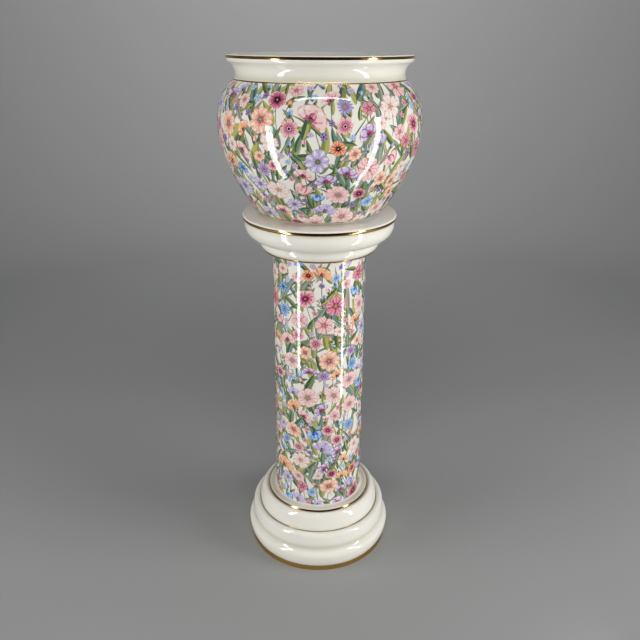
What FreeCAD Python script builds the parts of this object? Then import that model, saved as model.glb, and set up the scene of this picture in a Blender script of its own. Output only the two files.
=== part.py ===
# Jardiniere on its pedestal: two pieces of slip-cast, glazed earthenware turned about one upright axis.
#
# The pedestal is a hollow casting in three luted sections: base, column and capital.  The jardiniere is a
# hollow pot that only stands on the capital, so it lifts straight off.  Printed coats cover the pot and
# the column, and seven gilt lines and bands follow the mouldings.
#
# Millimetres.  The origin is the middle of the foot on the floor, and +Z is up.
import FreeCAD, Part

import math
import os

import Sketcher

# Alias, size in mm (a "turn" is the angle in degrees that an arc of the profile turns through), meaning.
# Radii are from the axis, and heights from the foot of the section or pot.  Where the meaning says so, a size is
# the depth under the top or a step from its neighbour, so that what belongs together moves together.
SIZES = [
    # the whole
    ("wall", 7.0, "thickness of the cast walls"),
    ("coat_t", 0.5, "thickness given to the printed and glazed coats"),
    ("gilt_t", 0.3, "thickness given to the gilding"),
    ("base_h", 112.0, "height of the base, up to the seat of the column"),
    ("column_h", 482.0, "length of the column"),
    ("capital_h", 61.0, "height of the capital"),
    ("pot_h", 245.0, "height of the pot"),
    # base, from the floor up
    ("foot_r", 133.6, "outside of the foot at the floor"),
    ("foot_ring", 9.0, "width of the ground ring that the foot stands on"),
    ("foot_bare_z", 0.8, "bare edge between the floor and the foot's gilt band"),
    ("foot_top_r", 0.5, "foot band, how far its upper edge leans in"),
    ("foot_top_z", 10.6, "its height"),
    ("toe_r", 138.0, "widest part of the toe roll"),
    ("toe_z", 81.0, "its depth under the top of the base"),
    ("toe_low_turn", 26.0, "turn of the toe below its widest part"),
    ("toe_top_turn", 67.0, "turn of the toe above its widest part"),
    ("crease_r", 129.2, "crease between the toe and the lower roll"),
    ("crease_z", 67.8, "its depth under the top of the base"),
    ("roll_r", 132.0, "widest part of the lower roll"),
    ("roll_z", 55.0, "its depth under the top of the base"),
    ("roll_low_turn", 25.0, "turn of the lower roll below its widest part"),
    ("roll_top_turn", 95.0, "turn of the lower roll above its widest part"),
    ("roll_lip_r", 1.3, "top of the lower roll, how far outside the gilt line"),
    ("roll_lip_z", 0.8, "its depth under the gilt line"),
    ("line_r", 113.7, "base's lower gilt line, lower edge"),
    ("line_z", 39.6, "its depth under the top of the base"),
    ("line_top_r", 0.4, "how far that line's upper edge leans out"),
    ("line_top_z", 1.8, "height of that line"),
    ("ovolo_r", 118.0, "widest part of the upper roll"),
    ("ovolo_z", 23.0, "its depth under the top of the base"),
    ("ovolo_low_turn", 39.0, "turn of the upper roll below its widest part"),
    ("ovolo_top_turn", 95.0, "turn of the upper roll above its widest part"),
    ("ovolo_lip_r", 1.0, "top of the upper roll, how far outside the ledge's gilt line"),
    ("ovolo_lip_z", 0.8, "its depth under that line"),
    ("ledge_low_r", 1.8, "ledge's gilt line, how far its lower edge leans out"),
    ("ledge_low_z", 3.2, "height of that line"),
    ("ledge_r", 6.2, "width of the ledge, from the fillet out"),
    ("ledge_z", 2.6, "its depth under the top of the base"),
    ("fillet_r", 6.7, "width of the fillet where the ledge turns up to the column"),
    ("fillet_z", 0.6, "how far the ledge rises to it"),
    ("fillet_turn", 35.0, "turn of that fillet"),
    # column, under its printed coat
    ("column_low_r", 82.8, "column at its foot"),
    ("column_top_r", 80.1, "column at its top"),
    # capital, from its underside up
    ("cap_floor", 6.0, "thickness of the capital's underside"),
    ("cap_line_r", 95.4, "capital's gilt line, lower edge"),
    ("cap_line_top_r", 1.0, "how far that line's upper edge leans out"),
    ("cap_line_top_z", 2.6, "height of that line"),
    ("bead_r", 101.5, "widest part of the capital's lower roll"),
    ("bead_z", 13.2, "its height"),
    ("bead_low_turn", 51.0, "turn of that roll below its widest part"),
    ("bead_top_turn", 44.0, "turn of that roll above its widest part"),
    ("neck_r", 98.8, "crease between the capital's two rolls"),
    ("neck_z", 19.8, "its height"),
    ("bowl_r", 125.8, "widest part of the capital's upper roll"),
    ("bowl_z", 18.0, "its depth under the top"),
    ("bowl_low_turn", 96.0, "turn of that roll below its widest part"),
    ("bowl_top_turn", 10.0, "turn of that roll above its widest part"),
    ("bowl_lip_r", 1.8, "top of the upper roll, how far inside the gilt band"),
    ("bowl_lip_z", 0.8, "its depth under the gilt band"),
    ("band_r", 126.8, "capital's gilt band, lower edge"),
    ("band_z", 5.0, "height of that band"),
    ("band_top_r", 2.2, "how far the band's upper edge leans out"),
    ("band_top_z", 2.8, "depth of that edge under the top"),
    ("cap_edge_r", 2.4, "width of the rounded edge outside the flat top"),
    ("cap_edge_turn", 62.0, "turn of the rounded edge outside it"),
    ("cap_plate", 9.0, "thickness of the capital's top"),
    # pot, from its foot ring up, under its printed coat
    ("pot_foot_r", 88.0, "outside of the foot ring"),
    ("pot_foot_ring", 10.0, "width of the foot ring"),
    ("pot_foot_z", 2.4, "height of the foot ring outside"),
    ("pot_hollow_z", 3.0, "depth of the hollow inside the foot ring"),
    ("pot_floor", 7.5, "thickness of the pot's floor"),
    ("pot_start_r", 95.0, "start of the pot's side"),
    ("pot_start_z", 3.6, "its height"),
    ("pot_low_r", 111.0, "low on the pot's side"),
    ("pot_low_z", 14.6, "its height"),
    ("pot_low_turn", 38.0, "turn of the side up to there"),
    ("pot_mid_r", 150.1, "middle of the pot's side"),
    ("pot_mid_z", 86.0, "its height"),
    ("pot_mid_turn", 12.0, "turn of the side up to there"),
    ("pot_belly_r", 161.4, "the pot's widest part"),
    ("pot_belly_z", 147.0, "its height"),
    ("pot_belly_turn", 22.0, "turn of the side up to there"),
    ("pot_upper_r", 154.2, "where the shoulder starts to turn in"),
    ("pot_upper_z", 62.0, "its depth under the rim"),
    ("pot_upper_turn", 24.0, "turn of the side up to there"),
    ("pot_shoulder_r", 135.0, "shoulder's gilt line, lower edge"),
    ("pot_shoulder_z", 1.6, "height of that line"),
    ("pot_shoulder_turn", 22.0, "turn of the shoulder"),
    ("pot_line_r", 1.1, "how far that line's upper edge leans in"),
    ("pot_line_z", 35.0, "depth of that edge under the rim"),
    ("pot_neck_r", 131.2, "narrowest part of the neck"),
    ("pot_neck_z", 26.4, "its depth under the rim"),
    ("pot_neck_turn", 42.0, "turn of the neck below its narrowest part"),
    ("pot_flare_r", 2.0, "top of the flared neck, how far inside the rim"),
    ("pot_flare_z", 5.2, "its depth under the rim's gilt band"),
    ("pot_flare_turn", 60.0, "turn of the flare"),
    ("pot_roll_turn", 50.0, "turn of the rim's rounded underside"),
    ("pot_rim_r", 144.2, "outside of the rim"),
    ("pot_rim_z", 4.0, "height of the rim's gilt band"),
    ("pot_rim_top_z", 1.4, "depth of that band under the top of the rim"),
    ("pot_lip", 1.4, "width of the lip's rounding"),
    ("pot_lip_turn", 80.0, "turn of the lip's rounding"),
]

doc = FreeCAD.newDocument("jardiniere")
sheet = doc.addObject("Spreadsheet::Sheet", "Sizes")
for row, (alias, size, meaning) in enumerate(SIZES, start=1):
    sheet.set("A%d" % row, alias)
    sheet.set("B%d" % row, str(size))
    sheet.setAlias("B%d" % row, alias)
    sheet.set("C%d" % row, meaning)
doc.recompute()


def terms(words):
    """Read "foot_r -wall +0.8*coat_t" as pairs of a factor and an alias; empty words are the value 0."""
    pairs = []
    for word in words.split():
        sign = -1.0 if word.startswith("-") else 1.0
        factor, _, alias = word.lstrip("+-").rpartition("*")
        pairs.append((sign * float(factor or 1.0), alias))
    return pairs


def number(words):
    return sum(factor * float(sheet.get(alias)) for factor, alias in terms(words))


def formula(words):
    return " + ".join("%s * Sizes.%s" % pair for pair in terms(words)) or "0"


def arc_between(start, end, turn, left):
    """The arc that turns by so many degrees on its way, with its centre on the left or the right of it."""
    run, rise = end[0] - start[0], end[1] - start[1]
    reach = 0.5 / math.tan(math.radians(turn) / 2.0)
    side = reach if left else -reach
    centre = ((start[0] + end[0]) / 2.0 - side * rise, (start[1] + end[1]) / 2.0 + side * run)
    first, last = (start, end) if left else (end, start)
    radius = math.hypot(first[0] - centre[0], first[1] - centre[1])
    circle = Part.Circle(FreeCAD.Vector(centre[0], centre[1], 0), FreeCAD.Vector(0, 0, 1), radius)
    angles = [math.atan2(point[1] - centre[1], point[0] - centre[0]) for point in (first, last)]
    return Part.ArcOfCircle(circle, angles[0], angles[1])


def arc_radius(before, station):
    run = "(%s - (%s))" % (formula(station[0]), formula(before[0]))
    rise = "(%s - (%s))" % (formula(station[1]), formula(before[1]))
    return "sqrt(%s ^ 2 + %s ^ 2) / (2 * sin(Sizes.%s / 2))" % (run, rise, station[2])


def turned(label, height, stations):
    """A body turned about the upright axis from a closed profile, standing at a height.

    Each station is (radius, height), reached by a straight line, or (radius, height, turn, side), reached
    by an arc.  The side, "left" or "right" of the way round, is where the arc has its centre.
    """
    body = doc.addObject("PartDesign::Body", label)
    body.Label = label
    plane = [feature for feature in body.Origin.OriginFeatures if feature.Role == "XZ_Plane"][0]
    sketch = body.newObject("Sketcher::SketchObject", label + "_profile")
    sketch.AttachmentSupport = [(plane, "")]
    sketch.MapMode = "FlatFace"

    points = [(number(station[0]), number(station[1])) for station in stations]
    edges = []  # for the way from each station to the next: the edge, and its ends in that order
    for index, start in enumerate(points):
        following = (index + 1) % len(points)
        end = points[following]
        left = True
        if len(stations[following]) == 4:
            turn = number(stations[following][2])
            left = stations[following][3] == "left"
            shape = arc_between(start, end, turn, left)
        else:
            shape = Part.LineSegment(FreeCAD.Vector(*start, 0), FreeCAD.Vector(*end, 0))
        edge = sketch.addGeometry(shape, False)
        edges.append((edge, 1, 2) if left else (edge, 2, 1))

    def bind(kind, words, *what):
        held = sketch.addConstraint(Sketcher.Constraint(kind, *what))
        sketch.setExpression("Constraints[%d]" % held, words)

    for index, station in enumerate(stations):
        edge, begin, _ = edges[index]
        before, _, finish = edges[index - 1]
        across, up = points[index]
        sketch.addConstraint(Sketcher.Constraint("Coincident", before, finish, edge, begin))
        if station[0]:
            bind("DistanceX", formula(station[0]), -1, 1, edge, begin, across)
        else:
            sketch.addConstraint(Sketcher.Constraint("PointOnObject", edge, begin, -2))
        if station[1]:
            bind("DistanceY", formula(station[1]), -1, 1, edge, begin, up)
        else:
            sketch.addConstraint(Sketcher.Constraint("PointOnObject", edge, begin, -1))
        if len(station) == 4:
            radius = sketch.Geometry[before].Radius
            bind("Radius", arc_radius(stations[index - 1], station), before, radius)

    solid = body.newObject("PartDesign::Revolution", label + "_turned")
    solid.Profile = sketch
    solid.ReferenceAxis = (sketch, ["V_Axis"])
    solid.Angle = 360.0
    if height:
        body.setExpression("Placement.Base.z", formula(height))
    return body


def gilt(label, height, low, top):
    """Gilding of one thickness laid on the facet between two stations."""
    over = " +gilt_t"
    return turned(label, height, [(low[0] + over, low[1]), (top[0] + over, top[1]), top, low])


# Where the profile of one piece meets another, both use the same station.
FILLET_R = "column_low_r +coat_t +fillet_r"
LEDGE_R, LEDGE_Z = FILLET_R + " +ledge_r", "base_h -ledge_z"
LOW_R, LOW_Z = LEDGE_R + " +ledge_low_r", LEDGE_Z + " -ledge_low_z"
BAND_R, BAND_Z = "band_r +band_top_r", "capital_h -band_top_z"
LINE_R, LINE_Z = "pot_shoulder_r -pot_line_r", "pot_h -pot_line_z"
RIM_Z = "pot_h -pot_rim_top_z"
FOOT_LOW, FOOT_TOP = ("foot_r", "foot_bare_z"), ("foot_r -foot_top_r", "foot_top_z")
LINE_LOW, LINE_TOP = ("line_r", "base_h -line_z"), ("line_r +line_top_r", "base_h -line_z +line_top_z")
LEDGE_LOW, LEDGE_TOP = (LOW_R, LOW_Z), (LEDGE_R, LEDGE_Z)
CAP_LINE_LOW, CAP_LINE_TOP = ("cap_line_r", ""), ("cap_line_r +cap_line_top_r", "cap_line_top_z")
BAND_LOW, BAND_TOP = ("band_r", BAND_Z + " -band_z"), (BAND_R, BAND_Z)
SHOULDER_LOW, SHOULDER_TOP = ("pot_shoulder_r", LINE_Z + " -pot_shoulder_z"), (LINE_R, LINE_Z)
RIM_LOW, RIM_TOP = ("pot_rim_r", RIM_Z + " -pot_rim_z"), ("pot_rim_r", RIM_Z)
ON_BASE = "base_h"
ON_COLUMN = "base_h +column_h"
ON_CAPITAL = "base_h +column_h +capital_h"

# Base: up the outside, over the seat of the column, and down the inside of the hollow casting.
base = turned("pedestal_base", "", [
    ("foot_r", ""),
    FOOT_LOW,
    FOOT_TOP,
    ("toe_r", "base_h -toe_z", "toe_low_turn", "left"),
    ("crease_r", "base_h -crease_z", "toe_top_turn", "left"),
    ("roll_r", "base_h -roll_z", "roll_low_turn", "left"),
    ("line_r +roll_lip_r", "base_h -line_z -roll_lip_z", "roll_top_turn", "left"),
    LINE_LOW,
    LINE_TOP,
    ("ovolo_r", "base_h -ovolo_z", "ovolo_low_turn", "left"),
    (LOW_R + " +ovolo_lip_r", LOW_Z + " -ovolo_lip_z", "ovolo_top_turn", "left"),
    LEDGE_LOW,
    LEDGE_TOP,
    (FILLET_R, LEDGE_Z + " +fillet_z"),
    ("column_low_r +coat_t", "base_h", "fillet_turn", "right"),
    ("column_low_r -wall", "base_h"),
    ("column_low_r -wall", LEDGE_Z + " -wall"),
    (LOW_R + " +ovolo_lip_r -0.4*wall", LOW_Z + " -ovolo_lip_z -wall"),
    ("ovolo_r -wall", "base_h -ovolo_z", "toe_top_turn", "right"),
    ("line_r -wall", "base_h -line_z -0.5*wall", "ovolo_low_turn", "right"),
    ("roll_r -wall", "base_h -roll_z", "toe_top_turn", "right"),
    ("crease_r -wall", "base_h -crease_z -0.4*wall", "roll_low_turn", "right"),
    ("toe_r -wall", "base_h -toe_z", "toe_top_turn", "right"),
    ("foot_r -foot_top_r -wall", "foot_top_z", "toe_low_turn", "right"),
    ("foot_r -foot_ring", ""),
])
foot_gilt = gilt("base_foot_gilt", "", FOOT_LOW, FOOT_TOP)
line_gilt = gilt("base_line_gilt", "", LINE_LOW, LINE_TOP)
ledge_gilt = gilt("base_ledge_gilt", "", LEDGE_LOW, LEDGE_TOP)

# Column: a slightly tapered tube, with its printed coat over the whole of its length.
column = turned("pedestal_column", ON_BASE, [
    ("column_low_r", ""),
    ("column_top_r", "column_h"),
    ("column_top_r -wall", "column_h"),
    ("column_low_r -wall", ""),
])
column_coat = turned("pedestal_printed_coat", ON_BASE, [
    ("column_low_r +coat_t", ""),
    ("column_top_r +coat_t", "column_h"),
    ("column_top_r", "column_h"),
    ("column_low_r", ""),
])

# Capital: closed on top by the plate that the pot stands on, and open below into the column.
capital = turned("pedestal_capital", ON_COLUMN, [
    CAP_LINE_LOW,
    CAP_LINE_TOP,
    ("bead_r", "bead_z", "bead_low_turn", "left"),
    ("neck_r", "neck_z", "bead_top_turn", "left"),
    ("bowl_r", "capital_h -bowl_z", "bowl_low_turn", "left"),
    ("band_r -bowl_lip_r", BAND_Z + " -band_z -bowl_lip_z", "bowl_top_turn", "left"),
    BAND_LOW,
    BAND_TOP,
    (BAND_R + " -cap_edge_r", "capital_h", "cap_edge_turn", "left"),
    ("", "capital_h"),
    ("", "capital_h -cap_plate"),
    ("band_r -bowl_lip_r -2*wall", "capital_h -cap_plate"),
    ("bowl_r -wall", "capital_h -bowl_z", "cap_edge_turn", "right"),
    ("neck_r -wall", "neck_z +wall", "toe_top_turn", "right"),
    ("bead_r -wall", "bead_z", "toe_low_turn", "right"),
    ("cap_line_r +cap_line_top_r -wall", "cap_floor", "cap_edge_turn", "right"),
    ("column_top_r -wall", "cap_floor"),
    ("column_top_r -wall", ""),
])
cap_line_gilt = gilt("capital_line_gilt", ON_COLUMN, CAP_LINE_LOW, CAP_LINE_TOP)
cap_band_gilt = gilt("capital_band_gilt", ON_COLUMN, BAND_LOW, BAND_TOP)

# Pot: up the outside from the foot ring to the rim, down the inside, and across the floor.
pot = turned("jardiniere_pot", ON_CAPITAL, [
    ("pot_foot_r", ""),
    ("pot_foot_r", "pot_foot_z"),
    ("pot_start_r", "pot_start_z"),
    ("pot_low_r", "pot_low_z", "pot_low_turn", "left"),
    ("pot_mid_r", "pot_mid_z", "pot_mid_turn", "left"),
    ("pot_belly_r", "pot_belly_z", "pot_belly_turn", "left"),
    ("pot_upper_r", "pot_h -pot_upper_z", "pot_upper_turn", "left"),
    SHOULDER_LOW + ("pot_shoulder_turn", "left"),
    SHOULDER_TOP,
    ("pot_neck_r", "pot_h -pot_neck_z", "pot_neck_turn", "right"),
    ("pot_rim_r -pot_flare_r", RIM_Z + " -pot_rim_z -pot_flare_z", "pot_flare_turn", "right"),
    RIM_LOW + ("pot_roll_turn", "left"),
    RIM_TOP,
    ("pot_rim_r -pot_lip", "pot_h", "pot_lip_turn", "left"),
    ("pot_rim_r -wall", "pot_h"),
    ("pot_neck_r -wall", "pot_h -pot_neck_z", "pot_flare_turn", "left"),
    ("pot_shoulder_r -0.7*wall", SHOULDER_LOW[1] + " -0.7*wall", "pot_neck_turn", "left"),
    ("pot_upper_r -0.9*wall", "pot_h -pot_upper_z -0.4*wall", "pot_shoulder_turn", "right"),
    ("pot_belly_r -wall", "pot_belly_z", "pot_upper_turn", "right"),
    ("pot_mid_r -wall", "pot_mid_z +0.3*wall", "pot_belly_turn", "right"),
    ("pot_low_r -0.8*wall", "pot_low_z +0.6*wall", "pot_mid_turn", "right"),
    ("pot_start_r -0.3*wall", "pot_hollow_z +pot_floor", "pot_low_turn", "right"),
    ("", "pot_hollow_z +pot_floor"),
    ("", "pot_hollow_z"),
    ("pot_foot_r -pot_foot_ring", "pot_hollow_z"),
    ("pot_foot_r -pot_foot_ring", ""),
])

# The pot's printed coat: its outside is the pot's own side moved out by the coat's thickness.
pot_coat = turned("jardiniere_printed_coat", ON_CAPITAL, [
    ("pot_start_r +0.3*coat_t", "pot_start_z -0.95*coat_t"),
    ("pot_low_r +0.8*coat_t", "pot_low_z -0.6*coat_t", "pot_low_turn", "left"),
    ("pot_mid_r +0.95*coat_t", "pot_mid_z -0.3*coat_t", "pot_mid_turn", "left"),
    ("pot_belly_r +coat_t", "pot_belly_z", "pot_belly_turn", "left"),
    ("pot_upper_r +0.9*coat_t", "pot_h -pot_upper_z +0.4*coat_t", "pot_upper_turn", "left"),
    ("pot_shoulder_r +0.7*coat_t", SHOULDER_LOW[1] + " +0.7*coat_t", "pot_shoulder_turn", "left"),
    SHOULDER_LOW,
    ("pot_upper_r", "pot_h -pot_upper_z", "pot_shoulder_turn", "right"),
    ("pot_belly_r", "pot_belly_z", "pot_upper_turn", "right"),
    ("pot_mid_r", "pot_mid_z", "pot_belly_turn", "right"),
    ("pot_low_r", "pot_low_z", "pot_mid_turn", "right"),
    ("pot_start_r", "pot_start_z", "pot_low_turn", "right"),
])
shoulder_gilt = turned("jardiniere_shoulder_gilt", ON_CAPITAL, [
    ("pot_shoulder_r +0.7*gilt_t", SHOULDER_LOW[1] + " +0.7*gilt_t"),
    (LINE_R + " +0.8*gilt_t", LINE_Z + " +0.6*gilt_t"),
    SHOULDER_TOP,
    SHOULDER_LOW,
])
rim_gilt = gilt("jardiniere_rim_gilt", ON_CAPITAL, RIM_LOW, RIM_TOP)

doc.recompute()

failed = [item.Name for item in doc.Objects if "Invalid" in item.State or "Error" in item.State]
nodes = [item for item in doc.Objects if item.TypeId == "PartDesign::Body"]
failed += [node.Label for node in nodes if node.Shape.isNull() or not node.Shape.isValid()]
failed += [node.Label for node in nodes if len(node.Shape.Solids) != 1]
if failed:
    raise SystemExit("not built: " + ", ".join(failed))

os.makedirs("parts", exist_ok=True)
for node in nodes:
    node.Shape.exportStep("parts/%s.step" % node.Label)
    box = node.Shape.BoundBox
    size = (node.Label, box.XLength, box.YLength, box.ZMin, box.ZMax, node.Shape.Volume / 1000.0)
    print("%-26s %7.2f x %7.2f  z %7.2f to %7.2f  %8.2f cm3" % size)
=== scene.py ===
import math
import random

import bmesh
import bpy
import numpy as np
from mathutils import Matrix, Vector


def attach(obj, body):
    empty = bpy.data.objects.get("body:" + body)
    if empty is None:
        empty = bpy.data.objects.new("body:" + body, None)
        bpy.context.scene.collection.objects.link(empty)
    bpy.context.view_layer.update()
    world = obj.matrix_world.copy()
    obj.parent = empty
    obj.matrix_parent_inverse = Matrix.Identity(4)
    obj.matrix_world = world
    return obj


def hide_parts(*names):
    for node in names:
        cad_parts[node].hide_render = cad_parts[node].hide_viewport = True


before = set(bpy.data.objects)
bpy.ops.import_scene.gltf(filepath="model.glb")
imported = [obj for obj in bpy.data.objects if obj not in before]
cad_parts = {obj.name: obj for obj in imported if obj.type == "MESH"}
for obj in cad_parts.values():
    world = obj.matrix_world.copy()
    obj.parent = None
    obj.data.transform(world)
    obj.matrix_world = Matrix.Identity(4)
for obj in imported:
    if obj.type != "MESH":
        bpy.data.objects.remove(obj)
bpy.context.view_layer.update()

MM = 0.001
TURN = 2 * math.pi

# Heights of the seats between the sections (mm).
BASE_TOP, COLUMN_TOP, CAPITAL_TOP = 112.0, 594.0, 655.0
GILT = 0.3      # thickness of the gilding

# Profiles, as stations (radius, height) or (radius, height, turn): an arc that turns by so many degrees on its way
# there, to the left where the number is positive.
BASE = [(134.4, 0.6), (134.4, 0.8), (133.9, 10.8), (134.3, 11.4), (138.6, 31.0, 27), (134.6, 40.0, 54),
        (129.4, 48.0, -54), (129.9, 52.5, -20), (130.5, 58.5, 20), (128.8, 70.0, 12), (122.2, 77.4, 70),
        (115.8, 74.6, 73), (114.4, 73.6), (114.7, 75.5), (115.2, 76.1), (114.2, 88.5, 14), (111.0, 100.0, 13.6),
        (104.5, 107.4, 38), (98.9, 106.7, 62), (98.0, 106.4), (96.2, 109.4), (90.0, 110.0), (83.3, 112.0, -35),
        (75.8, 112.0), (75.8, 102.4), (97.0, 99.6), (106.8, 89.0, -60), (107.6, 70.4), (119.0, 68.6),
        (123.2, 58.5, -60), (122.4, 46.4), (131.4, 31.0, -60), (126.4, 10.6, -26), (125.4, 0.5), (126.1, 0.0),
        (133.8, 0.0), (134.4, 0.6)]
CAPITAL = [(73.1, 0.0), (95.4, 0.0), (96.4, 2.6), (101.5, 13.2, 51), (98.8, 19.8, 44), (125.8, 43.0, 96),
           (125.0, 52.4, 10), (127.7, 52.9), (129.0, 58.2, 44), (126.6, 61.0, 62), (0.0, 61.0), (0.0, 52.0),
           (111.0, 52.0), (118.8, 43.0, -62), (91.8, 26.8, -67), (94.5, 13.2, -26), (89.4, 6.0, -62), (73.1, 6.0),
           (73.1, 0.0)]
POT_SIDE = [(95.0, 3.6), (111.0, 14.6, 38), (150.1, 86.0, 12), (161.4, 147.0, 22), (154.2, 183.0, 24),
            (135.0, 208.4, 22)]
POT = [(88.0, 0.5), (88.0, 2.4)] + POT_SIDE + [
    (133.9, 210.0), (131.2, 218.6, -42), (142.2, 234.4, -60), (144.2, 239.6, 50), (144.2, 243.6),
    (142.8, 245.0, 80), (138.3, 245.0), (137.2, 244.0, 90), (124.2, 218.6, 60), (130.1, 203.5, 42),
    (147.9, 180.2, -22), (154.4, 147.0, -24), (143.1, 88.1, -22), (105.4, 18.8, -12), (92.9, 10.5, -38), (0.0, 10.5),
    (0.0, 3.0), (78.0, 3.0), (78.0, 0.5), (78.5, 0.0), (87.5, 0.0), (88.0, 0.5)]
COLUMN_SIDE = [(82.8, 0.0), (80.1, 482.0)]


def along(stations, height=0.0, step=5.0):
    """Points on a profile, with its arcs cut into steps of so many degrees."""
    points = [(stations[0][0], stations[0][1] + height)]
    for before, station in zip(stations, stations[1:]):
        if len(station) == 2:
            points.append((station[0], station[1] + height))
            continue
        turn = math.radians(station[2])
        reach = 0.5 / math.tan(turn / 2)
        run, rise = station[0] - before[0], station[1] - before[1]
        across, up = (before[0] + station[0]) / 2 - reach * rise, (before[1] + station[1]) / 2 + reach * run
        start, radius = math.atan2(before[1] - up, before[0] - across), math.dist(before[:2], (across, up))
        count = max(2, round(abs(station[2]) / step))
        for index in range(1, count + 1):
            angle = start + turn * index / count
            points.append((across + radius * math.cos(angle), up + radius * math.sin(angle) + height))
    return points


# ---------------------------------------------------------------------------------------------- materials


def linear(code):
    """A colour as Blender reckons it, from the six digits that a colour chart gives."""
    parts = [int(code[index:index + 2], 16) / 255 for index in (0, 2, 4)]
    return tuple(part / 12.92 if part <= 0.04045 else ((part + 0.055) / 1.055) ** 2.4 for part in parts) + (1.0,)


def material(name):
    made = bpy.data.materials.new(name)
    made.use_nodes = True
    return made, made.node_tree.nodes["Principled BSDF"]


def node(tree, kind, **settings):
    """A new node; a setting that names one of its sockets is put there, or linked if it is another node's output."""
    made = tree.nodes.new("ShaderNode" + kind)
    for name, value in settings.items():
        name = name.replace("_", " ")
        if name in made.inputs:
            if isinstance(value, bpy.types.NodeSocket):
                tree.links.new(value, made.inputs[name])
            else:
                made.inputs[name].default_value = value
        else:
            setattr(made, name.replace(" ", "_"), value)
    return made


def glossy(tree, shader, depth=0.00005, size=28.0):
    """The skin of a fired glaze: a wet gloss over slow waves, which make straight reflections wander a little."""
    place = node(tree, "TexCoord").outputs["Object"]
    waves = node(tree, "TexNoise", Vector=place, Scale=size, Detail=2.0, Roughness=0.45)
    bump = node(tree, "Bump", Height=waves.outputs["Fac"], Strength=1.0, Distance=depth)
    tree.links.new(bump.outputs["Normal"], shader.inputs["Normal"])
    shader.inputs["IOR"].default_value = 1.52
    shader.inputs["Roughness"].default_value = 0.07
    return place


def ivory_glaze():
    # What gives the eye the glaze: an even, warm white that goes a touch deeper and greener in the creases, partly
    # as glaze that ran thick there and partly as painted shade, under one clear gloss.
    made, shader = material("ivory_vitreous_glaze")
    tree = made.node_tree
    place = glossy(tree, shader)
    cloud = node(tree, "TexNoise", Vector=place, Scale=14.0, Detail=3.0, Roughness=0.6)
    pooled_glaze_and_painted_shade = node(tree, "Attribute", attribute_name="pooled_glaze_and_painted_shade")
    warm = node(tree, "Mix", data_type="RGBA", Factor=cloud.outputs["Fac"])
    warm.inputs[6].default_value, warm.inputs[7].default_value = linear("f1eee5"), linear("ece8dc")
    crease_pooling_and_painted_shade = node(tree, "Mix", data_type="RGBA", Factor=pooled_glaze_and_painted_shade.outputs["Fac"])
    tree.links.new(warm.outputs[2], crease_pooling_and_painted_shade.inputs[6])
    # The crease tint: thicker glaze there, and painted shade darkening the creases.
    crease_pooling_and_painted_shade.inputs[7].default_value = linear("d6d3c0")
    tree.links.new(crease_pooling_and_painted_shade.outputs[2], shader.inputs["Base Color"])
    return made


def biscuit():
    # The ground rings that pot and pedestal stand on are bare clay: dry, and finely speckled.
    made, shader = material("bare_biscuit_clay")
    tree = made.node_tree
    place = node(tree, "TexCoord").outputs["Object"]
    grain = node(tree, "TexNoise", Vector=place, Scale=900.0, Detail=3.0)
    mix = node(tree, "Mix", data_type="RGBA", Factor=grain.outputs["Fac"])
    mix.inputs[6].default_value, mix.inputs[7].default_value = linear("e2d8c4"), linear("cdbfa6")
    tree.links.new(mix.outputs[2], shader.inputs["Base Color"])
    bump = node(tree, "Bump", Height=grain.outputs["Fac"], Strength=0.4, Distance=0.0001)
    tree.links.new(bump.outputs["Normal"], shader.inputs["Normal"])
    shader.inputs["Roughness"].default_value = 0.85
    return made


def gilding(name, colour, low, high):
    # Burnished gold on the glaze: a mirror with fine marks left round and round by brush and burnisher.
    made, shader = material(name)
    tree = made.node_tree
    place = node(tree, "TexCoord").outputs["Object"]
    stretched = node(tree, "Mapping", Vector=place, Scale=(25.0, 25.0, 1600.0))
    marks = node(tree, "TexNoise", Vector=stretched.outputs["Vector"], Scale=1.0, Detail=3.0, Roughness=0.6)
    rough = node(tree, "MapRange", Value=marks.outputs["Fac"])
    for socket, value in (("From Min", 0.3), ("From Max", 0.7), ("To Min", low), ("To Max", high)):
        rough.inputs[socket].default_value = value
    tree.links.new(rough.outputs["Result"], shader.inputs["Roughness"])
    bump = node(tree, "Bump", Height=marks.outputs["Fac"], Strength=0.5, Distance=0.00002)
    tree.links.new(bump.outputs["Normal"], shader.inputs["Normal"])
    shader.inputs["Base Color"].default_value = linear(colour)
    shader.inputs["Metallic"].default_value = 1.0
    return made


def matt(name, colour):
    made, shader = material(name)
    tree = made.node_tree
    place = node(tree, "TexCoord").outputs["Object"]
    cloud = node(tree, "TexNoise", Vector=place, Scale=1.3, Detail=2.0)
    mix = node(tree, "Mix", data_type="RGBA", Factor=cloud.outputs["Fac"])
    light = linear(colour)
    mix.inputs[6].default_value, mix.inputs[7].default_value = light, tuple(0.94 * part for part in light[:3]) + (1,)
    tree.links.new(mix.outputs[2], shader.inputs["Base Color"])
    shader.inputs["Roughness"].default_value = 0.7
    return made


GLAZE, CLAY = ivory_glaze(), biscuit()
GOLD = gilding("burnished_gold", "d8b06a", 0.08, 0.2)
FOOT_GOLD = gilding("worn_gold_of_the_foot", "c9a25c", 0.25, 0.42)

# ---------------------------------------------------------------------------------------------- turned pieces


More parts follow.
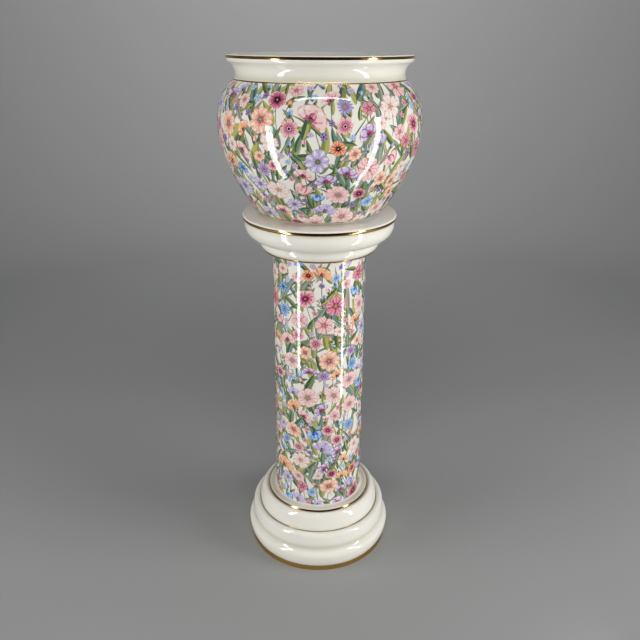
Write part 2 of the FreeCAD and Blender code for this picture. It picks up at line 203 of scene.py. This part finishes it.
def turned(name, points, body, replaced, finish, steps=256, below=None):
    """A piece turned about the upright axis: one point, drawn out along its profile and spun once round."""
    bpy.ops.object.select_all(action="DESELECT")
    bpy.ops.mesh.primitive_circle_add(vertices=3, radius=MM)
    piece = bpy.context.object
    piece.name = name
    bpy.ops.object.mode_set(mode="EDIT")
    bpy.ops.mesh.select_all(action="SELECT")
    bpy.ops.mesh.merge(type="CENTER")
    bpy.ops.transform.translate(value=(points[0][0] * MM, 0, points[0][1] * MM))
    for before, point in zip(points, points[1:]):
        step = ((point[0] - before[0]) * MM, 0, (point[1] - before[1]) * MM)
        bpy.ops.mesh.extrude_region_move(TRANSFORM_OT_translate={"value": step})
    bpy.ops.mesh.select_all(action="SELECT")
    bpy.ops.mesh.spin(steps=steps, angle=TURN, center=(0, 0, 0), axis=(0, 0, 1))
    bpy.ops.mesh.select_all(action="SELECT")
    bpy.ops.mesh.remove_doubles(threshold=0.000002)
    bpy.ops.mesh.normals_make_consistent(inside=False)
    bpy.ops.object.mode_set(mode="OBJECT")
    bpy.ops.object.shade_smooth_by_angle(angle=math.radians(32))
    piece.data.materials.append(finish)
    if below is not None:       # the ground ring is bare clay
        piece.data.materials.append(CLAY)
        for face in piece.data.polygons:
            if max(piece.data.vertices[index].co.z for index in face.vertices) < below * MM and face.normal.z < -0.3:
                face.material_index = 1
    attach(piece, body)
    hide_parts(replaced)
    return piece


def pool_glaze_and_paint_shade(piece, creases):
    """Mark where the glaze ran together and where painted crease shade falls: 1 in a crease at (radius, height), fading
    out over some millimetres.
    """
    places = np.empty(len(piece.data.vertices) * 3)
    piece.data.vertices.foreach_get("co", places)
    places = places.reshape(-1, 3) / MM
    out, up = np.hypot(places[:, 0], places[:, 1]), places[:, 2]
    depth = np.zeros(len(out))
    for radius, height, reach in creases:
        depth = np.maximum(depth, np.exp(-((out - radius) ** 2 + (up - height) ** 2) / reach ** 2))
    mark = piece.data.attributes.new("pooled_glaze_and_painted_shade", "FLOAT", "POINT")
    mark.data.foreach_set("value", depth.astype(np.float32))


def ring(name, low, top, body, replaced, finish=GOLD, swell=0.0):
    """A gilt line or band on the facet between two stations, with its edges eased down to the glaze; a swell makes
    it bulge by so many millimetres in the middle."""
    run, rise = top[0] - low[0], top[1] - low[1]
    width = math.hypot(run, rise)
    run, rise = run / width, rise / width
    out, up = rise, -run
    ease = min(0.5, width / 5)
    steps = [ease + (width - 2 * ease) * index / 8 for index in range(1, 8)] if swell else []
    lifts = [(0.0, 0.0), (0.25 * ease, 0.7), (ease, 0.95)] + [(step, 0.95) for step in steps]
    lifts += [(width - ease, 0.95), (width - 0.25 * ease, 0.7), (width, 0.0)]
    points = []
    for way, lift in lifts:
        high = GILT * lift + 4 * swell * way * (width - way) / width ** 2
        points.append((low[0] + run * way + out * high, low[1] + rise * way + up * high))
    return turned(name, points + [low], body, replaced, finish)


def at_height(point, height):
    return (point[0], point[1] + height)


base = turned("pedestal_base_glazed", along(BASE), "pedestal", "pedestal_base", GLAZE, below=0.8)
# The creases below get the darker glaze tint, partly thick glaze and partly painted shade.
pool_glaze_and_paint_shade(base, [(129.4, 47.5, 5), (115.4, 74.4, 3), (115.0, 76.0, 3), (89.0, 110.3, 5), (98.6, 106.5, 3)])
capital = turned("pedestal_capital_glazed", along(CAPITAL, COLUMN_TOP), "pedestal", "pedestal_capital",
                 GLAZE)
pool_glaze_and_paint_shade(capital, [(98.8, 613.8, 4), (126.2, 647.0, 3), (96.4, 596.8, 3)])
pot = turned("jardiniere_glazed", along(POT, CAPITAL_TOP, 4.0), "jardiniere", "jardiniere_pot", GLAZE,
             below=CAPITAL_TOP + 0.8)
pool_glaze_and_paint_shade(pot, [(133.0, 867.0, 7), (133.5, 864.0, 4)])

ring("base_foot_band", BASE[1], BASE[2], "pedestal", "base_foot_gilt", FOOT_GOLD)
ring("base_line", BASE[12], BASE[13], "pedestal", "base_line_gilt")
ring("base_ledge_line", BASE[19], BASE[20], "pedestal", "base_ledge_gilt")
ring("capital_line", at_height(CAPITAL[1], COLUMN_TOP), at_height(CAPITAL[2], COLUMN_TOP), "pedestal",
     "capital_line_gilt")
ring("capital_band", at_height(CAPITAL[7], COLUMN_TOP), at_height(CAPITAL[8], COLUMN_TOP), "pedestal",
     "capital_band_gilt", swell=0.53)
ring("jardiniere_shoulder_line", (135.0, 863.4), (133.9, 865.0), "jardiniere", "jardiniere_shoulder_gilt")
ring("jardiniere_rim_band", (144.2, 894.6), (144.2, 898.6), "jardiniere", "jardiniere_rim_gilt")

# The tube of the column shows only inside, where it is glazed: the CAD node stays and gets the glaze.
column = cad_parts["pedestal_column"]
column.data.materials.clear()
column.data.materials.append(GLAZE)

# ---------------------------------------------------------------------------------------------- the print
# An all-over chintz of poppies, roses, mallows, anemones, asters, bells and sweet peas among leaves and grasses.  It
# is made in mesh code: each petal and leaf is a patch of ink that follows the glazed side with the side's own
# normals, so that the gloss runs over all of them unbroken.  Every letter in a word of inks below is one of these.

INKS = {"w": "efeae0", "z": "d3cdc3", "x": "96807c", "k": "2b2128",
        "p": "f2d2cc", "r": "e3a5ac", "d": "c76a88", "b": "a03c69", "m": "611d38",
        "h": "f3bd92", "c": "d8705a", "q": "c4a24a",
        "v": "cfc2dc", "u": "9f7bb0", "n": "5d3266", "l": "a09fce",
        "s": "b6cdea", "a": "6797d2", "e": "2f5aa0",
        "y": "b2b366", "g": "848a4b", "f": "43604c", "t": "708c7c", "o": "a5a38f"}


def ink(letter):
    # What gives the eye the inks: flat transfer colours that lie under the same wet gloss as the glaze.
    made, shader = material("print_ink_" + letter)
    glossy(made.node_tree, shader)
    shader.inputs["Base Color"].default_value = linear(INKS[letter])
    return made


PALETTE = {letter: ink(letter) for letter in INKS}
ORDER = {letter: index for index, letter in enumerate(INKS)}


def side_of(stations, height):
    """A printed side: the way up it, and at each step its radius, height and outward direction."""
    points = np.array(along(stations, height, 0.5))
    way = np.concatenate([[0.0], np.cumsum(np.hypot(*np.diff(points, axis=0).T))])
    lean = np.gradient(points, way, axis=0)
    lean /= np.hypot(*lean.T)[:, None]
    return {"way": way, "radius": points[:, 0], "height": points[:, 1], "out": lean[:, 1], "rise": -lean[:, 0]}


def at(side, what, way):
    return np.interp(way, side["way"], side[what])


def lay(sheet, side, around, way, inks, lift):
    """Lay a patch of cells on a side, at angles round it and ways up it; what passes the border is cut off."""
    way = np.clip(way, 0.0, side["way"][-1])
    out = at(side, "radius", way) + at(side, "out", way) * lift
    high = at(side, "height", way) + at(side, "rise", way) * lift
    places = np.stack([out * np.cos(around), out * np.sin(around), high], -1).reshape(-1, 3)
    rows, columns = way.shape
    corner = (np.arange(rows - 1)[:, None] * columns + np.arange(columns - 1)).ravel()
    cells = np.stack([corner, corner + 1, corner + columns + 1, corner + columns], -1)
    ways = way.ravel()[cells]
    kept = ways.max(1) - ways.min(1) > 0.01
    start = sum(len(part) for part in sheet["places"])
    sheet["places"].append(places)
    sheet["cells"].append(cells[kept] + start)
    sheet["inks"].append(np.broadcast_to(inks, (rows - 1, columns - 1)).ravel()[kept])


def printed(name, sheet, side, body, replaced):
    """One piece of the print, with the side's exact normals."""
    mesh = bpy.data.meshes.new(name)
    mesh.from_pydata(np.concatenate(sheet["places"]) * MM, [], np.concatenate(sheet["cells"]).tolist())
    used = sorted(set(np.concatenate(sheet["inks"]).tolist()))
    for letter in INKS:
        if ORDER[letter] in used:
            mesh.materials.append(PALETTE[letter])
    places = {index: place for place, index in enumerate(used)}
    mesh.polygons.foreach_set("material_index", [places[index] for index in np.concatenate(sheet["inks"]).tolist()])
    mesh.update()
    work = bmesh.new()
    work.from_mesh(mesh)
    bmesh.ops.remove_doubles(work, verts=work.verts, dist=0.000001)
    loose = [vertex for vertex in work.verts if not vertex.link_faces]
    bmesh.ops.delete(work, geom=loose, context="VERTS")
    work.to_mesh(mesh)
    work.free()
    mesh.polygons.foreach_set("use_smooth", [True] * len(mesh.polygons))
    spots = np.empty(len(mesh.vertices) * 3)
    mesh.vertices.foreach_get("co", spots)
    spots = spots.reshape(-1, 3) / MM
    out, rise = (np.interp(spots[:, 2], side["height"], side[what]) for what in ("out", "rise"))
    around = np.arctan2(spots[:, 1], spots[:, 0])
    mesh.normals_split_custom_set_from_vertices(np.stack([out * np.cos(around), out * np.sin(around), rise], -1))
    piece = bpy.data.objects.new(name, mesh)
    bpy.context.scene.collection.objects.link(piece)
    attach(piece, body)
    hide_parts(replaced)
    return piece


def cells(words, rows, columns, repeat):
    """The inks of a patch: one word for each band from the foot up, spread over the cells of one repeat across."""
    bands = [[ORDER[letter] for letter in word] for word in words]
    inks = []
    for row in range(rows):
        band = bands[row * len(bands) // rows]
        inks.append([band[column % repeat * len(band) // repeat] for column in range(columns)])
    return np.array(inks)


def halved(values):
    """The values with the middles between them."""
    return [value for pair in zip(values, values[1:]) for value in (pair[0], sum(pair) / 2)] + [values[-1]]


WIDE, THIN = (-1, -0.84, -0.4, 0.05, 0.45, 0.84), (-1, -0.5, 0.4)     # where the cells of a petal meet, across it
LARGE = 11      # radius (mm) past which a flower takes smaller cells, so that it lies close to the curved side


def bloom(petals, radius, words, rings, dice, lobe=0.3, notch=0.0, twist=0.0, spots=WIDE):
    """An open flower seen from the front, drawn in rings of cells from its middle out."""
    if radius > LARGE:
        spots, rings = halved(list(spots) + [1])[:-1], halved(rings)
    per = len(spots)
    size = [dice.uniform(0.86, 1.08) for _ in range(petals)]
    turn, reach = [], []
    for index in range(petals * per + 1):
        petal, spot = (index // per) % petals, spots[index % per]
        grown = size[petal] if spot > -1 else min(size[petal], size[petal - 1])
        reach.append(grown * (1 - lobe * abs(spot) ** 2.6 - notch * math.exp(-(spot / 0.25) ** 2)))
        turn.append((index // per + 0.5 + spot / 2) * TURN / petals)
    turn, reach = np.array(turn), np.array(reach)
    rings = np.array(rings)[:, None]
    far = radius * rings * (rings * reach + (1 - rings) * (1 - lobe))
    angle = turn + twist * rings
    grid = np.stack([far * np.sin(angle), far * np.cos(angle)], -1)
    return grid, cells(words, len(rings) - 1, petals * per, per), 0.0


def petal(length, width, words, widest=0.6, bend=0.0, sharp=0.0):
    """A petal that grows up from (0, 0) along a bent line."""
    rows = max(5, round(length / 2.4))
    way = (1 - np.cos(np.pi * np.arange(rows + 1) / rows)) / 2
    power = math.log(0.5) / math.log(widest)
    half = width / 2 * np.sqrt(np.clip(1 - (2 * way ** power - 1) ** 2, 0, 1)) * (1 - sharp * way)
    across = (-1, -0.7, 0.0, 0.62, 1) if width < 9 else (-1, -0.86, -0.7, -0.35, 0.0, 0.31, 0.62, 0.82, 1)
    return ribbon(length, half, bend, way, across, words)


def ribbon(length, half, bend, way, across, words):
    """A patch along a bent line, with half its width at each step of the way."""
    angle = bend * way
    step = np.diff(way, prepend=0.0) * length
    spine = np.stack([np.cumsum(step * np.sin(angle)), np.cumsum(step * np.cos(angle))], -1)
    aside = np.stack([np.cos(angle), -np.sin(angle)], -1)
    grid = spine[:, None] + aside[:, None] * (half[:, None] * np.array(across))[..., None]
    return grid, cells(words, len(way) - 1, len(across) - 1, len(across) - 1), 0.0


def leaf(length, width, words, bend):
    way = np.linspace(0, 1, max(5, round(length / 3.0)) + 1)
    half = width / 2 * np.sin(np.pi * way ** 0.72) ** 0.85
    across = (-1, 0.1, 1) if width < 3 else (-1, -0.1, 0.14, 1) if width < 5.5 else (-1, -0.55, -0.1, 0.14, 0.55, 1)
    return ribbon(length, half, bend, way, across, words)


def stem(length, words, bend):
    way = np.linspace(0, 1, max(4, round(length / 3.5)) + 1)
    return ribbon(length, 0.45 + 0.3 * (1 - way), bend, way, (-1, 1), words)


def moved(part, angle, across=0.0, up=0.0, lift=0.0):
    """A part of a motif turned to the right, shifted, and lifted off the side."""
    grid, inks, raised = part
    x, y = grid[..., 0], grid[..., 1]
    cos, sin = math.cos(angle), math.sin(angle)
    return np.stack([x * cos + y * sin + across, y * cos - x * sin + up], -1), inks, raised + lift


STEP = 0.012    # how far one petal of a flower lies above another (mm)
SHADES = {
    "rose": (("qqqqqq", "mqmqmq", "bdrrdb", "xrrpprrpprrd", "drrpprpprprr", "xrpprprpprrd"),
             ("qqqqqq", "oqoqoq", "xrpprx", "zppwppzwppwz", "rpwwpwpwwpwr", "xrpprprpprpx"),
             ("qqqqqq", "mqmqmq", "mbddbm", "mddrrddrrddb", "bddrrdrrdrdb", "xdrrdrdrrdrb")),
    "mallow": (("qqqqqq", "kkmkkm", "mcmccm", "mcchccchhccm", "xchhchchhchx", "chhchhchhchc"),
               ("qqqqqq", "mmbmmb", "bdbddb", "xddrrdddrrdx", "drrpprprrprd", "xrprpprprprd"),
               ("yyyyyy", "kkkkkk", "mbmmbm", "bddbbddbddbb", "xrddrrdrddrx", "dprpprprppdr")),
    "anemone": (("kkkkkk", "wswwsw", "keaeae", "eaasaasaaasa", "easssaassaae", "eaasaasaasae"),
                ("kkkkkk", "vwvvwv", "nunnun", "nuuvuuvuuvun", "nuvvuvuvvuun", "nuvuvvuvvuvn"),
                ("kkkkkk", "wpwwpw", "mdbdbm", "mddrddrddrdb", "brrprrprprrb", "xrpprprpprpb")),
    "poppy": (("oooooo", "gogxgo", "xgoxgo",
               "drxrdprxrdrx", "xrprpprprprd", "rpprpwprpppr", "rppwppwppwpr", "xrprpprpprpd"),
              ("gogogo", "gxgogx", "ogoxgo",
               "xdrdrxdrdrdx", "drprrprprrpd", "rpprppprpprr", "rpwpprpwpppr", "drrpprrpprrd"),
              ("oooooo", "kokxko", "xkoxko",
               "xcddcdhcddcx", "xrchhrhchhrx", "chphhphwphhr", "rphwphhwphpr", "xchrhhchhrcr"),
              ("gggggg", "kgkxgk", "xkuxku",
               "xullvuulvllu", "ulvlvvlvvlvu", "lvvwvvlvwvvl", "uvvwvlvvwvvl", "xulvuvlvvulu")),
}


def rose(size, dice):
    words = dice.choice(SHADES["rose"])
    return [bloom(5, size, words, (0, 0.13, 0.24, 0.42, 0.66, 0.9, 1), dice, 0.3, 0.1, dice.uniform(-0.25, 0.25))]


def mallow(size, dice):
    words = dice.choice(SHADES["mallow"])
    return [bloom(5, size, words, (0, 0.12, 0.36, 0.5, 0.72, 0.92, 1), dice, 0.2, 0.03, 0.3)]


def anemone(size, dice):
    words = dice.choice(SHADES["anemone"])
    return [bloom(7, size, words, (0, 0.2, 0.27, 0.44, 0.68, 0.91, 1), dice, 0.3, 0.0, 0.15)]


def poppy(size, dice):
    words = dice.choice(SHADES["poppy"])
    rings = (0, 0.12, 0.2, 0.26, 0.38, 0.56, 0.76, 0.93, 1)
    return [bloom(dice.choice((4, 5)), size, words, rings, dice, 0.18, 0.07, 0.2)]


def aster(size, dice):
    words = dice.choice((("qqq", "mqm", "mbd", "bdr"), ("qqq", "oqo", "xrp", "drp"), ("qqq", "nqn", "nul", "ulv")))
    return [bloom(13, size, words, (0, 0.2, 0.32, 0.66, 1), dice, 0.42, 0.0, 0.0, THIN)]


def cornflower(size, dice):
    words = dice.choice((("nnn", "kek", "eae", "eas"), ("eee", "eae", "eas", "ass")))
    return [bloom(9, size, words, (0, 0.15, 0.3, 0.66, 1), dice, 0.55, 0.12, 0.2, THIN)]


def forget_me_not(size, dice):
    words = dice.choice((("qqq", "ass"), ("mmm", "drr"), ("qqq", "uvv"), ("kkk", "nul")))
    return [bloom(5, size, words, (0, 0.26, 1), dice, 0.3, 0.0, 0.0, THIN)]


def bell(size, dice):
    words = dice.choice((("nnnn", "ulul", "lvlu", "lvvl", "uvvu"), ("mmmm", "rdrd", "prpd", "pppr", "rppd"),
                         ("eeee", "aeae", "sasa", "sssa", "assa")))
    parts = []
    for hand in (-1, 1):
        parts.append(moved(petal(1.7 * size, 0.95 * size, words, 0.66), 0.42 * hand, 0, -0.8 * size, STEP * (hand > 0)))
    parts.append(moved(petal(1.6 * size, 0.9 * size, words[:0:-1] + words[:1], 0.62), 0.0, 0, -0.85 * size, 2 * STEP))
    parts.append(moved(petal(0.5 * size, 0.5 * size, ("ffgg",)), 0.0, 0, -1.0 * size, 3 * STEP))
    return parts


def sweet_pea(size, dice):
    words = dice.choice((("mmbb", "bdrd", "rppr", "pwpp", "drpr"), ("nnuu", "uvlv", "lvvl", "vwvv", "ulvl"),
                         ("mmcc", "chhc", "chhh", "hwhh", "cchc"), ("nnbb", "budb", "uvvu", "vwvu", "nuvu")))
    parts = []
    for index, angle in enumerate((-1.15, 0.0, 1.15, -0.55, 0.55)):
        parts.append(moved(petal(1.25 * size, 1.05 * size, words, 0.68), angle, 0, -0.5 * size, (index // 3) * STEP))
    parts.append(moved(petal(0.8 * size, 0.55 * size, words[:2]), 0.0, 0, -0.6 * size, 2 * STEP))
    parts.append(moved(petal(0.4 * size, 0.36 * size, ("gfgf",)), 0.0, 0, -0.75 * size, 3 * STEP))
    return parts


def bud(size, dice):
    words = dice.choice((("dddd", "rprd", "drpr"), ("eeee", "aass", "assa"), ("mmmm", "chhc", "cchc"),
                         ("nnnn", "ulvu", "ulvl")))
    return [moved(petal(2 * size, 1.1 * size, words, 0.5), 0, 0, -size),
            moved(petal(size, 1.0 * size, ("ffgy",), 0.5), 0, 0, -1.2 * size, STEP)]


def sprig(length, dice):
    """A thin stem with six pairs of small leaves."""
    tone = dice.choice(("ox", "to", "gy", "ft", "oz"))
    bend = dice.uniform(-0.5, 0.5)
    parts = [stem(length, (tone[0],), bend)]
    for index in range(6):
        for hand in (-1, 1):
            way = 0.18 + 0.14 * index + 0.05 * (hand > 0)
            spot = parts[0][0][min(len(parts[0][0]) - 1, round(way * (len(parts[0][0]) - 1)))].mean(0)
            long = length * (0.26 - 0.025 * index)
            part = leaf(long, long * 0.36, (tone,), 0.0)
            parts.append(moved(part, bend * way + hand * 0.85, spot[0], spot[1], STEP / 2 if hand > 0 else 0.0))
    return parts


GREENS = ("fyg", "gyy", "ftt", "fgy", "tof", "tft", "yyg", "goy", "fgg", "oxo", "tot", "fgt")


def spray(length, dice):
    """A leaf or a blade of grass."""
    tone = dice.choice(GREENS)
    if length > 46:
        return [leaf(length, dice.uniform(2.6, 5.4), (tone,), dice.uniform(-0.9, 0.9))]
    return [leaf(length, length * dice.uniform(0.22, 0.31), (tone,), dice.uniform(-0.6, 0.6))]


KINDS = ((rose, 3), (mallow, 4), (anemone, 2), (poppy, 3), (aster, 1), (cornflower, 1), (bell, 2), (sweet_pea, 4))
KINDS = [kind for kind, share in KINDS for _ in range(share)]
LARGE_KINDS = (poppy, poppy, poppy, rose, rose, mallow, sweet_pea)
SMALL_KINDS = (forget_me_not, forget_me_not, bud)
# Flower heads, the largest first: their sheet, how many to the square metre, their least and greatest radius (mm),
# how close they may come as a share of both radii, and what they are.
HEADS = (("large_flowers", 260, 16.5, 21.0, 0.92, LARGE_KINDS), ("flowers", 620, 10.5, 14.5, 0.86, KINDS),
         ("florets", 900, 5.0, 7.0, 0.95, SMALL_KINDS))
# Greenery: its sheet, how many to the square metre, its least and greatest length (mm), and what draws it.
GREENERY = (("grasses", 1000, 50, 90, spray), ("leaves", 2500, 26, 46, spray), ("leaves", 280, 30, 42, sprig),
            ("leaves", 1500, 16, 28, spray))
GROUND = 0.01                                                       # how high the ground lies (mm),
LOW = [round(0.035 + 0.021 * index, 3) for index in range(12)]      # the layers of the leaves over it,
HIGH = [round(0.3 + 0.044 * index, 3) for index in range(4)]        # and those of the flowers over them
TRIES = 6000    # places tried for one size of flower heads


def reach_of(motif):
    """Circles (across, up, radius) that cover a motif, for telling what overlaps it."""
    circles = []
    for grid, _, _ in motif:
        rows = max(1, len(grid) // 3)
        for start in range(0, len(grid) - 1, rows):
            block = grid[start:start + rows + 1].reshape(-1, 2)
            middle = (block.min(0) + block.max(0)) / 2
            circles.append((*middle, np.hypot(*(block - middle).T).max()))
    return np.array(circles)


class Layout:
    """What is printed so far on one side, so that nothing shares a layer with what it overlaps."""

    def __init__(self, side, seed):
        self.side, self.dice = side, random.Random(seed)
        self.placed = np.empty((0, 4))
        way = side["way"]
        rings = TURN * (side["radius"][1:] + side["radius"][:-1]) / 2 * np.diff(way)
        self.area = rings.sum() / 1e6
        self.share = np.concatenate([[0.0], np.cumsum(rings)]) / rings.sum()
        self.sheets = {}

    def somewhere(self):
        return self.dice.uniform(0, TURN), float(np.interp(self.dice.random(), self.share, self.side["way"]))

    def stamp(self, sheet, motif, around, way, angle, layers, flat=1.0):
        """Print a motif in one of the three lowest free layers; it is left out where none is free."""
        parts = []
        for grid, inks, lift in motif:
            grid, inks, lift = moved((grid * (1.0, flat), inks, lift), angle)
            parts.append((grid, inks, lift))
        circles = reach_of(parts)
        ways = way + circles[:, 1]
        turns = around + circles[:, 0] / at(self.side, "radius", ways)
        taken = set()
        if len(self.placed):
            apart = (turns[:, None] - self.placed[:, 0] + math.pi) % TURN - math.pi
            apart = np.hypot(apart * at(self.side, "radius", way), ways[:, None] - self.placed[:, 1])
            near = apart < circles[:, 2][:, None] + self.placed[:, 2]
            taken = set(self.placed[near.any(0), 3].tolist())
        free = [layer for layer in layers if layer not in taken]
        if not free:
            return False
        layer = self.dice.choice(free[:3])
        taking = np.column_stack([turns, ways, circles[:, 2], np.full(len(turns), layer)])
        self.placed = np.vstack([self.placed, taking])
        target = self.sheets.setdefault(sheet, {"places": [], "cells": [], "inks": []})
        for grid, inks, lift in parts:
            ups = way + grid[..., 1]
            rounds = around + grid[..., 0] / at(self.side, "radius", np.clip(ups, 0, self.side["way"][-1]))
            lay(target, self.side, rounds, ups, inks, layer + lift)
        return True


def chintz(name, stations, height, body, replaced, seed):
    """The whole print of one side: ground, flower heads with their stems, then greenery under them."""
    side = side_of(stations, height)
    layout = Layout(side, seed)
    dice, top = layout.dice, side["way"][-1]
    ground = {"places": [], "cells": [], "inks": []}
    around, way = np.meshgrid(np.linspace(0, TURN, 361), np.linspace(0, top, round(top / 3) + 1))
    lay(ground, side, around, way, ORDER["w"], GROUND)
    printed(name + "_ground", ground, side, body, replaced)

    heads = []
    for sheet, density, small, large, close, kinds in HEADS:
        wanted, tries = round(density * layout.area), 0
        while wanted and tries < TRIES:
            tries += 1
            size = dice.uniform(small, large)
            turn, up = layout.somewhere()
            others = np.array(heads) if heads else np.empty((0, 3))
            apart = (others[:, 0] - turn + math.pi) % TURN - math.pi
            apart = np.hypot(apart * at(side, "radius", up), others[:, 1] - up)
            if (apart < close * (others[:, 2] + size)).any():
                continue
            motif = dice.choice(kinds)(size, dice)
            if layout.stamp(sheet, motif, turn, up, dice.uniform(-0.9, 0.9), HIGH, dice.uniform(0.74, 1.0)):
                heads.append((turn, up, size))
                wanted -= 1
                if sheet != "florets":
                    stalk = stem(dice.uniform(34, 60), (dice.choice("fgt"),), dice.uniform(-0.5, 0.5))
                    layout.stamp("grasses", [stalk], turn, up, math.pi + dice.uniform(-0.35, 0.35), LOW)
    for sheet, density, shortest, longest, draw in GREENERY:
        for _ in range(round(density * layout.area)):
            length = dice.uniform(shortest, longest)
            turn, up = layout.somewhere()
            layout.stamp(sheet, draw(length, dice), turn, up - length / 2, dice.gauss(0, 0.6), LOW)
    for sheet, parts in layout.sheets.items():
        printed(name + "_" + sheet, parts, side, body, replaced)


chintz("jardiniere_print", POT_SIDE, CAPITAL_TOP, "jardiniere", "jardiniere_printed_coat", 5)
chintz("pedestal_print", COLUMN_SIDE, BASE_TOP, "pedestal", "pedestal_printed_coat", 11)

# ---------------------------------------------------------------------------------------------- studio


def sweep():
    """A pale floor that curves up into a backdrop all round."""
    bpy.ops.object.select_all(action="DESELECT")
    bpy.ops.mesh.primitive_circle_add(vertices=3, radius=0.001)
    floor = bpy.context.object
    floor.name = "studio_floor"
    bpy.ops.object.mode_set(mode="EDIT")
    bpy.ops.mesh.select_all(action="SELECT")
    bpy.ops.mesh.merge(type="CENTER")
    points = along([(0.0, 0.0), (1.9, 0.0), (3.3, 1.4, 90), (3.3, 2.3)])
    for before, point in zip(points, points[1:]):
        step = (point[0] - before[0], 0, point[1] - before[1])
        bpy.ops.mesh.extrude_region_move(TRANSFORM_OT_translate={"value": step})
    bpy.ops.mesh.select_all(action="SELECT")
    bpy.ops.mesh.spin(steps=96, angle=TURN, center=(0, 0, 0), axis=(0, 0, 1))
    bpy.ops.mesh.select_all(action="SELECT")
    bpy.ops.mesh.remove_doubles(threshold=0.0001)
    bpy.ops.mesh.normals_make_consistent(inside=True)
    bpy.ops.object.mode_set(mode="OBJECT")
    bpy.ops.object.shade_smooth()
    floor.data.materials.append(matt("pale_studio_floor", "a1a2a1"))
    return floor


def dark_side():
    """A dark curtain and a dark cloth on the floor before it, seen by no view: glaze and gold reflect them."""
    bpy.ops.object.select_all(action="DESELECT")
    bpy.ops.mesh.primitive_plane_add(size=1, location=(0, 0, 0))
    curtain = bpy.context.object
    curtain.name = "studio_dark_curtain"
    bpy.ops.object.mode_set(mode="EDIT")
    bpy.ops.mesh.select_all(action="SELECT")
    bpy.ops.transform.resize(value=(2.6, 1.9, 1))
    bpy.ops.transform.rotate(value=math.radians(90), orient_axis="X")
    bpy.ops.transform.translate(value=(0, -1.25, 0.96))
    bpy.ops.mesh.primitive_plane_add(size=1, location=(0, -0.86, 0.004))
    bpy.ops.transform.resize(value=(2.0, 0.78, 1))
    bpy.ops.object.mode_set(mode="OBJECT")
    curtain.data.materials.append(matt("dark_curtain", "1c1b1a"))
    curtain.visible_camera = curtain.visible_diffuse = curtain.visible_shadow = False


def lamp(name, place, target, size, power, lights=True, glints=False):
    """A softbox: one that lights the piece, or a narrow one that only glints in glaze and gold."""
    light = bpy.data.lights.new(name, "AREA")
    light.shape, light.size, light.size_y = "RECTANGLE", size[0], size[1]
    light.energy = power
    made = bpy.data.objects.new(name, light)
    bpy.context.scene.collection.objects.link(made)
    place, target = Vector(place), Vector(target)
    made.location = place
    made.rotation_euler = (target - place).to_track_quat("-Z", "Y").to_euler()
    made.visible_camera = False
    made.visible_diffuse, made.visible_glossy = lights, glints
    return made


sweep()
dark_side()
lamp("softbox_above", (0.0, -1.1, 1.95), (0, -0.1, 0.1), (1.2, 1.2), 5.0)
lamp("softbox_in_front", (0.0, -1.75, 0.65), (0, 0, 0.55), (1.6, 1.1), 12.5)
lamp("softbox_left", (-1.7, -0.5, 0.8), (0, 0, 0.5), (1.0, 1.4), 17.0)
lamp("softbox_right", (1.7, -0.5, 0.8), (0, 0, 0.5), (1.0, 1.4), 25.0)
lamp("backdrop_light", (0.0, 1.5, 2.2), (0, 3.2, 1.5), (1.2, 0.6), 32.0)
lamp("strip_left", (-0.446, -0.401, 0.47), (0, 0, 0.47), (0.075, 0.7), 2.5, False, True)
lamp("strip_right", (0.5, -0.331, 0.485), (0, 0, 0.485), (0.055, 0.89), 2.4, False, True)
lamp("bar_above", (0.04, -0.62, 1.75), (0, 0, 0.8), (1.0, 0.07), 3.5, False, True)

world = bpy.data.worlds.new("studio_air")
world.use_nodes = True
world.node_tree.nodes["Background"].inputs["Color"].default_value = (0.93, 0.96, 1.0, 1.0)
world.node_tree.nodes["Background"].inputs["Strength"].default_value = 0.08
bpy.context.scene.world = world

lens = bpy.data.cameras.new("camera")
lens.lens, lens.sensor_width = 36.87, 36.0
camera = bpy.data.objects.new("camera", lens)
bpy.context.scene.collection.objects.link(camera)
turn = (Matrix.Rotation(math.radians(-0.094), 4, "Z") @ Matrix.Rotation(math.radians(66.72), 4, "X")
        @ Matrix.Rotation(math.radians(0.282), 4, "Z"))
camera.matrix_world = Matrix.Translation((0.0, -1.083, 0.9219)) @ turn
bpy.context.scene.camera = camera
bpy.context.scene.view_settings.view_transform = "Standard"
